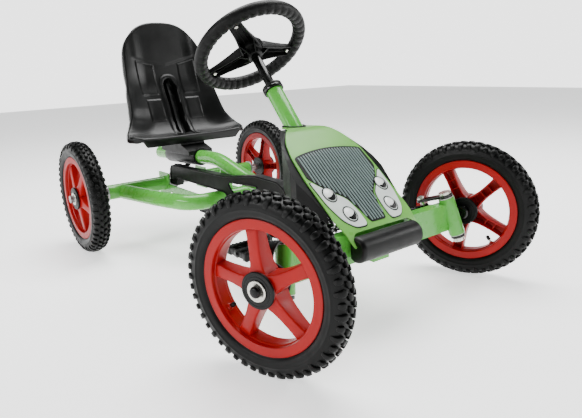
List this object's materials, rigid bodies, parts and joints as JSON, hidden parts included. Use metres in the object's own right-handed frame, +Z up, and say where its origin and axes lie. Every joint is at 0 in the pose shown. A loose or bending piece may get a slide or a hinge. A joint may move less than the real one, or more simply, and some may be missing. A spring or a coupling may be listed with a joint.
{
  "type": "pedal go kart",
  "caption": "Child's four-wheel pedal go kart: tubular frame, steered front axle, chain drive, bucket seat on a sliding sleeve and a sloping moulded bonnet.",
  "frame": {"origin": "centre of the kart's overall box at ground level, where the tyres rest", "axes": "+X points forward along the kart, +Y to the driver's left, +Z up"},
  "size_m": [1.1679, 0.7366, 0.6294],
  "materials": {
    "frame_green": "gloss",
    "bonnet_green": "satin",
    "rim_red": "satin",
    "tyre_black": "matte",
    "black_metal": "satin",
    "black_plastic": "matte",
    "seat_black": "satin",
    "guard_black": "satin",
    "grille_grey": "satin",
    "lamp_grey": "gloss",
    "zinc": "satin",
    "steel": "satin",
    "bush_white": "matte",
    "grip_black": "matte",
    "chain_steel": "satin"
  },
  "bodies": {
    "frame": {"spine_tube": "frame_green", "head_tube": "frame_green", "frame_riser": "frame_green", "front_bracket": "frame_green", "beam_pivot_bolt": "zinc", "side_rail_left": "frame_green", "side_rail_right": "frame_green", "axle_tube_left": "frame_green", "axle_tube_right": "frame_green", "bottom_bracket_shell": "frame_green", "axle_bearings": "steel", "crank_bushes": "bush_white", "steering_bushes": "black_plastic", "chain_guard": "guard_black", "chain": "chain_steel", "bonnet": "bonnet_green", "bonnet_shell": "black_plastic", "grille": "grille_grey", "headlights": "lamp_grey", "bumper": "black_plastic"},
    "front_axle": {"front_beam": "frame_green", "kingpin_bushes": "bush_white", "kingpin_bolts": "zinc"},
    "steering": {"steering_shaft": "black_metal", "steering_wheel": "grip_black", "steering_wheel_pad": "black_plastic", "drop_arm": "black_metal"},
    "left_tie_rod": {"tie_rod_left": "black_metal"},
    "right_tie_rod": {"tie_rod_right": "black_metal"},
    "left_knuckle": {"knuckle_left": "black_metal", "front_nut_left": "zinc"},
    "right_knuckle": {"knuckle_right": "black_metal", "front_nut_right": "zinc"},
    "front_left_wheel": {"front_left_tyre": "tyre_black", "front_left_rim": "rim_red", "front_left_hub_cap": "black_plastic", "front_left_hub_bushes": "bush_white"},
    "front_right_wheel": {"front_right_tyre": "tyre_black", "front_right_rim": "rim_red", "front_right_hub_cap": "black_plastic", "front_right_hub_bushes": "bush_white"},
    "driven_axle": {"rear_axle": "steel", "rear_axle_nuts": "zinc", "drive_sprocket": "steel", "rear_right_tyre": "tyre_black", "rear_right_rim": "rim_red", "rear_right_hub_cap": "black_plastic", "rear_right_drive_hub": "steel"},
    "rear_left_wheel": {"rear_left_tyre": "tyre_black", "rear_left_rim": "rim_red", "rear_left_hub_cap": "black_plastic", "rear_left_hub_bushes": "bush_white"},
    "crankset": {"crank": "black_metal", "chainring": "black_metal"},
    "left_pedal": {"pedal_left": "black_plastic"},
    "right_pedal": {"pedal_right": "black_plastic"},
    "seat": {"seat_shell": "seat_black", "seat_bracket": "black_plastic", "seat_screws": "black_metal"},
    "seat_lever": {"seat_knob": "black_plastic"}
  },
  "joints": [
    {"name": "front_axle_swing", "type": "hinge", "parent": "frame", "child": "front_axle", "pos_m": [0.384, 0, 0.155], "axis": [1, 0, 0], "range_deg": [-3, 3]},
    {"name": "steering_turn", "type": "hinge", "parent": "frame", "child": "steering", "pos_m": [0.2827, 0, 0.192], "axis": [-0.6561, 0, 0.7547], "range_deg": [-75, 13]},
    {"name": "left_kingpin", "type": "hinge", "parent": "front_axle", "child": "left_knuckle", "pos_m": [0.396, 0.23, 0.156], "axis": [-0.2369, -0.202, 0.9503], "range_deg": [-46.5, 8.5]},
    {"name": "right_kingpin", "type": "hinge", "parent": "front_axle", "child": "right_knuckle", "pos_m": [0.396, -0.23, 0.156], "axis": [-0.2369, 0.202, 0.9503], "range_deg": [-46.5, 8.5]},
    {"name": "left_rod_turn", "type": "hinge", "parent": "left_knuckle", "child": "left_tie_rod", "pos_m": [0.33335, 0.20521, 0.18141], "axis": [-0.2228, -0.3459, 0.9114], "range_deg": [-10, 53]},
    {"name": "right_rod_turn", "type": "hinge", "parent": "right_knuckle", "child": "right_tie_rod", "pos_m": [0.33316, -0.24175, 0.18913], "axis": [-0.3143, 0.3171, 0.8948], "range_deg": [-10, 53]},
    {"name": "front_left_spin", "type": "hinge", "parent": "left_knuckle", "child": "front_left_wheel", "pos_m": [0.38391, 0.30198, 0.156], "axis": [-0.3256, 0.9455, 0], "continuous": true},
    {"name": "front_right_spin", "type": "hinge", "parent": "right_knuckle", "child": "front_right_wheel", "pos_m": [0.43079, -0.29417, 0.156], "axis": [-0.3256, 0.9455, 0], "continuous": true},
    {"name": "rear_axle_spin", "type": "hinge", "parent": "frame", "child": "driven_axle", "pos_m": [-0.43, 0, 0.156], "axis": [0, 1, 0], "continuous": true},
    {"name": "rear_left_spin", "type": "hinge", "parent": "driven_axle", "child": "rear_left_wheel", "pos_m": [-0.43, 0.306, 0.156], "axis": [0, 1, 0], "continuous": true},
    {"name": "crank_spin", "type": "hinge", "parent": "frame", "child": "crankset", "pos_m": [0.1, 0, 0.172], "axis": [0, 1, 0], "continuous": true},
    {"name": "left_pedal_spin", "type": "hinge", "parent": "crankset", "child": "left_pedal", "pos_m": [0.1, 0.112, 0.258], "axis": [0, 1, 0], "continuous": true},
    {"name": "right_pedal_spin", "type": "hinge", "parent": "crankset", "child": "right_pedal", "pos_m": [0.1, -0.112, 0.086], "axis": [0, 1, 0], "continuous": true},
    {"name": "seat_slide", "type": "slide", "parent": "frame", "child": "seat", "axis": [0.9988, 0, 0.0491], "range_m": [-0.075, 0.035]},
    {"name": "seat_lever_turn", "type": "hinge", "parent": "seat", "child": "seat_lever", "pos_m": [-0.392, 0, 0.2378], "axis": [0.0491, 0, -0.9988], "range_deg": [0, 90]}
  ],
  "couplings": [
    {"joint": "left_kingpin", "follows": "steering_turn", "ratio": 0.613},
    {"joint": "right_kingpin", "follows": "steering_turn", "ratio": 0.613},
    {"joint": "left_rod_turn", "follows": "steering_turn", "ratio": -0.6851},
    {"joint": "right_rod_turn", "follows": "steering_turn", "ratio": -0.6887},
    {"joint": "crank_spin", "follows": "rear_axle_spin", "ratio": 0.59091}
  ]
}
